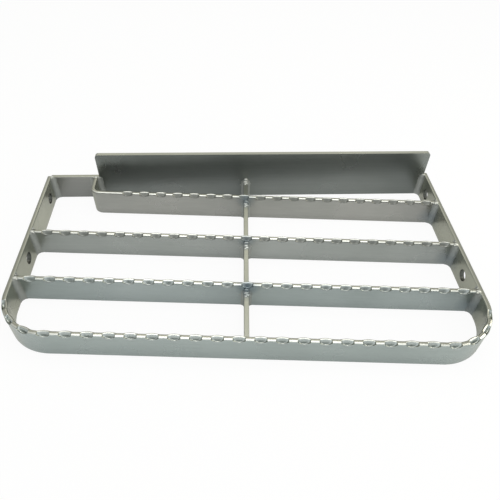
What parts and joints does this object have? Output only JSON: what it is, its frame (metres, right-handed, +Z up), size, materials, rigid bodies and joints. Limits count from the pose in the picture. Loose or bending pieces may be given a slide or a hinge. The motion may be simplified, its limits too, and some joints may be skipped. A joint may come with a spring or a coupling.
{
  "type": "stair tread",
  "caption": "Welded steel stair tread of dimpled non-slip bars on edge in a bent flat-bar frame, with a taller back plate and side bolt holes for the stringers.",
  "frame": {"origin": "on the ground, at the middle of the tread's bounding box", "axes": "+X to the tread's right as one climbs it, +Y from the nose to the back plate, +Z up"},
  "size_m": [0.6, 0.329, 0.08],
  "materials": {
    "frame_steel": "satin",
    "bar_steel": "satin",
    "plate_steel": "satin",
    "weld_metal": "satin"
  },
  "bodies": {
    "root": {"outer_frame": "frame_steel", "front_tread_bar": "bar_steel", "middle_tread_bar": "bar_steel", "rear_tread_bar": "bar_steel", "back_plate": "plate_steel", "corner_bar": "frame_steel", "front_tie": "bar_steel", "middle_tie": "bar_steel", "rear_tie": "bar_steel", "plate_tie": "bar_steel", "weld_front_bar_left": "weld_metal", "weld_front_bar_right": "weld_metal", "weld_middle_bar_left": "weld_metal", "weld_middle_bar_right": "weld_metal", "weld_rear_bar_right": "weld_metal", "weld_plate_right": "weld_metal", "weld_corner_bar": "weld_metal", "weld_return": "weld_metal", "weld_tie_nose": "weld_metal", "weld_tie_front": "weld_metal", "weld_tie_middle": "weld_metal", "weld_tie_rear": "weld_metal", "weld_tie_plate": "weld_metal"}
  },
  "joints": []
}
